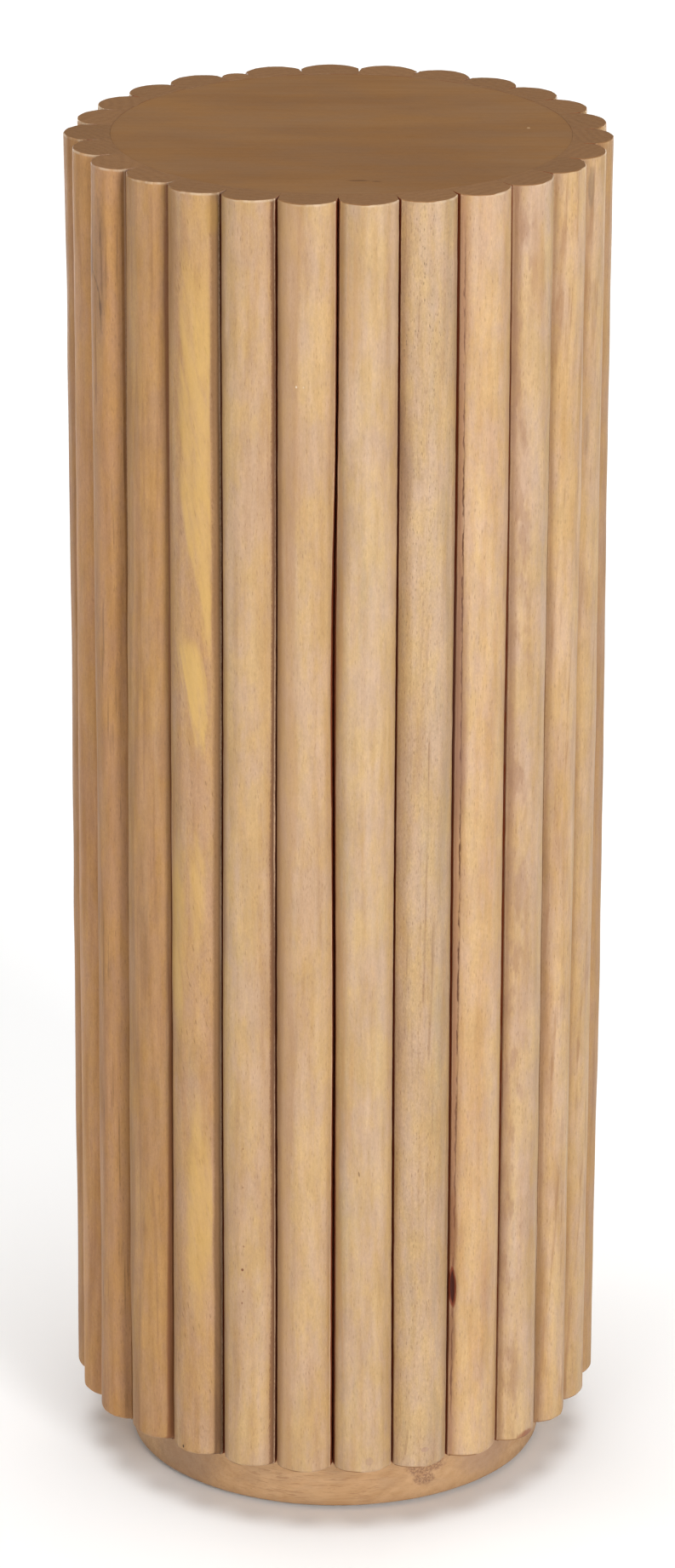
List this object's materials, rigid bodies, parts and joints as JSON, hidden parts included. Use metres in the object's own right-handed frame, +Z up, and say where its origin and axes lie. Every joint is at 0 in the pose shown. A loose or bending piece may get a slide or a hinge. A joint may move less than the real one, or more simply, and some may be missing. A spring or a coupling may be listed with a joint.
{
  "type": "column side table",
  "caption": "Round column side table: half-round wooden slats ring a hollow drum with an inset disc top and a recessed round plinth, to set a lamp, plant or drink on.",
  "frame": {"origin": "on the floor under the middle of the column, at the underside of the felt pads", "axes": "+Z up the column, towards the table top; -Y is the side that faces the viewer in the reference view; +X to that viewer's right"},
  "size_m": [0.2899, 0.2892, 0.76],
  "materials": {
    "slat_wood": "mango wood, light honey, thin matt lacquer",
    "top_wood": "mango wood, brown honey, thin satin lacquer",
    "plinth_wood": "mango wood, honey brown, thin matt lacquer",
    "plywood": "raw plywood",
    "post_wood": "raw planed softwood",
    "zinc_steel": "zinc-plated",
    "felt": "dense brown felt"
  },
  "bodies": {
    "root": {"top_panel": "top_wood", "slat_01": "slat_wood", "slat_02": "slat_wood", "slat_03": "slat_wood", "slat_04": "slat_wood", "slat_05": "slat_wood", "slat_06": "slat_wood", "slat_07": "slat_wood", "slat_08": "slat_wood", "slat_09": "slat_wood", "slat_10": "slat_wood", "slat_11": "slat_wood", "slat_12": "slat_wood", "slat_13": "slat_wood", "slat_14": "slat_wood", "slat_15": "slat_wood", "slat_16": "slat_wood", "slat_17": "slat_wood", "slat_18": "slat_wood", "slat_19": "slat_wood", "slat_20": "slat_wood", "slat_21": "slat_wood", "slat_22": "slat_wood", "slat_23": "slat_wood", "slat_24": "slat_wood", "slat_25": "slat_wood", "slat_26": "slat_wood", "closing_slat": "slat_wood", "plinth": "plinth_wood", "upper_rib": "plywood", "mid_rib_upper": "plywood", "mid_rib_lower": "plywood", "bottom_board": "plywood", "inner_post_right": "post_wood", "inner_post_back": "post_wood", "inner_post_left": "post_wood", "inner_post_front": "post_wood", "top_panel_screws": "zinc_steel", "post_top_screws": "zinc_steel", "post_bottom_screws": "zinc_steel", "plinth_screws": "zinc_steel", "slat_brads": "zinc_steel", "felt_pads": "felt"}
  },
  "joints": []
}
